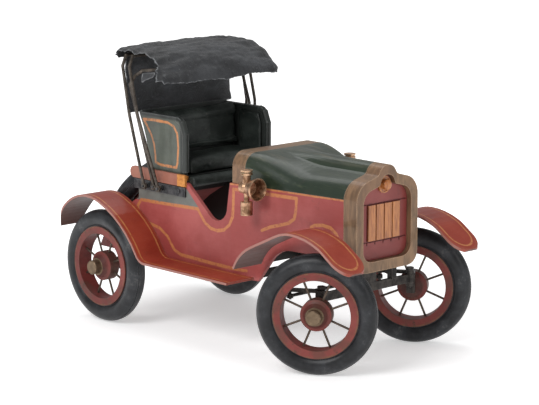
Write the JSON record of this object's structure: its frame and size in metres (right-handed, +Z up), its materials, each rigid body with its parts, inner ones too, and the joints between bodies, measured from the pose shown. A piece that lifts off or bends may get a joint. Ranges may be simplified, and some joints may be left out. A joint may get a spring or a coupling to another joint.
{
  "type": "pedal car",
  "caption": "Child's pedal car with wire wheels, tub seat, folding canvas top, strip fenders with running boards, spare wheel and brass lamps.",
  "frame": {"origin": "on the floor under the middle of the car, halfway along its length", "axes": "+X forward, +Y to the car's left, +Z up"},
  "size_m": [0.9278, 0.5, 0.629],
  "materials": {
    "tyre_rubber": "worn matt",
    "wheel_paint": "worn satin",
    "body_paint": "worn satin",
    "fender_paint": "worn satin",
    "hood_paint": "worn satin",
    "bronze_wood": "grained satin",
    "amber_paint": "satin",
    "seat_wood": "painted satin",
    "seat_paint": "satin",
    "leather": "worn",
    "iron": "dark oiled",
    "bow_paint": "worn satin",
    "wheel_wood": "satin",
    "canvas": "waxed canvas",
    "brass": "tarnished"
  },
  "bodies": {
    "car": {"spare_tyre": "tyre_rubber", "spare_rim": "wheel_paint", "spare_hub": "wheel_paint", "body_side_right": "body_paint", "body_side_left": "body_paint", "tail_deck": "body_paint", "chassis_frame": "body_paint", "cowl_band_top": "bronze_wood", "hood": "hood_paint", "radiator_shell": "bronze_wood", "radiator_panel": "body_paint", "grille_bars": "amber_paint", "radiator_badge": "amber_paint", "seat_base": "seat_wood", "seat_tub": "seat_paint", "back_pad": "leather", "arm_pads": "leather", "seat_cushion": "leather", "seat_roll": "leather", "rear_fender_right": "fender_paint", "rear_fender_left": "fender_paint", "front_fender_right": "fender_paint", "front_fender_left": "fender_paint", "fender_stays": "iron", "front_axle": "iron", "kingpins": "iron", "column_brackets": "iron", "axle_bearings": "iron", "pedal_shaft": "iron", "bow_plates": "iron", "spare_carrier": "iron", "lamp_right": "brass", "lamp_left": "brass"},
    "drive_axle": {"rear_axle": "iron", "rear_tyre_right": "tyre_rubber", "rear_tyre_left": "tyre_rubber", "rear_rim_right": "wheel_paint", "rear_rim_left": "wheel_paint", "rear_hub_right": "wheel_paint", "rear_hub_left": "wheel_paint"},
    "push_rod_right": {"push_rod_right": "iron"},
    "push_rod_left": {"push_rod_left": "iron"},
    "pedal_right": {"pedal_right": "iron"},
    "pedal_left": {"pedal_left": "iron"},
    "steering_column": {"steering_column": "iron", "steering_wheel": "wheel_wood"},
    "knuckle_right": {"knuckle_right": "iron"},
    "knuckle_left": {"knuckle_left": "iron"},
    "front_wheel_right": {"front_tyre_right": "tyre_rubber", "front_rim_right": "wheel_paint", "front_hub_right": "wheel_paint"},
    "front_wheel_left": {"front_tyre_left": "tyre_rubber", "front_rim_left": "wheel_paint", "front_hub_left": "wheel_paint"},
    "tie_rod": {"tie_rod": "iron"},
    "rear_bow": {"rear_bow": "bow_paint", "canopy": "canvas", "back_curtain": "canvas"},
    "middle_bow": {"middle_bow": "bow_paint"},
    "front_bow": {"front_bow": "bow_paint"}
  },
  "joints": [
    {"name": "drive_spin", "type": "hinge", "parent": "car", "child": "drive_axle", "pos_m": [-0.31051, 0, 0.127], "axis": [0, 1, 0], "continuous": true},
    {"name": "rod_right_pin", "type": "hinge", "parent": "drive_axle", "child": "push_rod_right", "pos_m": [-0.27851, -0.0485, 0.127], "axis": [0, 1, 0], "continuous": true},
    {"name": "rod_left_pin", "type": "hinge", "parent": "drive_axle", "child": "push_rod_left", "pos_m": [-0.34251, 0.0485, 0.127], "axis": [0, 1, 0], "continuous": true},
    {"name": "pedal_right_swing", "type": "hinge", "parent": "car", "child": "pedal_right", "pos_m": [0.11949, -0.0405, 0.374], "axis": [0, 1, 0], "range_deg": [0, 30.93]},
    {"name": "pedal_left_swing", "type": "hinge", "parent": "car", "child": "pedal_left", "pos_m": [0.11949, 0.0405, 0.374], "axis": [0, 1, 0], "range_deg": [-30.93, 0]},
    {"name": "steer", "type": "hinge", "parent": "car", "child": "steering_column", "pos_m": [-0.01051, 0, 0.345], "axis": [-0.9318, 0, 0.3631], "range_deg": [-68, 0]},
    {"name": "kingpin_right", "type": "hinge", "parent": "car", "child": "knuckle_right", "pos_m": [0.32349, -0.133, 0.127], "axis": [0, 0, 1], "range_deg": [-68, 0]},
    {"name": "kingpin_left", "type": "hinge", "parent": "car", "child": "knuckle_left", "pos_m": [0.32349, 0.133, 0.127], "axis": [0, 0, 1], "range_deg": [-68, 0]},
    {"name": "tie_rod_pin", "type": "hinge", "parent": "knuckle_right", "child": "tie_rod", "pos_m": [0.26878, -0.16991, 0.152], "axis": [0, 0, 1], "range_deg": [0, 68]},
    {"name": "front_right_spin", "type": "hinge", "parent": "knuckle_right", "child": "front_wheel_right", "pos_m": [0.34843, -0.16997, 0.127], "axis": [-0.5592, 0.829, 0], "continuous": true},
    {"name": "front_left_spin", "type": "hinge", "parent": "knuckle_left", "child": "front_wheel_left", "pos_m": [0.29855, 0.16997, 0.127], "axis": [-0.5592, 0.829, 0], "continuous": true},
    {"name": "top_fold", "type": "hinge", "parent": "car", "child": "rear_bow", "pos_m": [-0.22451, 0, 0.314], "axis": [0, -1, 0], "range_deg": [0, 55]},
    {"name": "middle_bow_fold", "type": "hinge", "parent": "car", "child": "middle_bow", "pos_m": [-0.17601, 0, 0.314], "axis": [0, -1, 0], "range_deg": [0, 49.5]},
    {"name": "front_bow_fold", "type": "hinge", "parent": "car", "child": "front_bow", "pos_m": [-0.20101, 0, 0.314], "axis": [0, -1, 0], "range_deg": [0, 52.25]}
  ],
  "couplings": [
    {"joint": "rod_right_pin", "follows": "drive_spin", "ratio": -1},
    {"joint": "rod_left_pin", "follows": "drive_spin", "ratio": -1},
    {"joint": "pedal_left_swing", "follows": "pedal_right_swing", "ratio": -1},
    {"joint": "kingpin_right", "follows": "steer", "ratio": 1},
    {"joint": "kingpin_left", "follows": "steer", "ratio": 1},
    {"joint": "tie_rod_pin", "follows": "steer", "ratio": -1},
    {"joint": "middle_bow_fold", "follows": "top_fold", "ratio": 0.9},
    {"joint": "front_bow_fold", "follows": "top_fold", "ratio": 0.95}
  ]
}
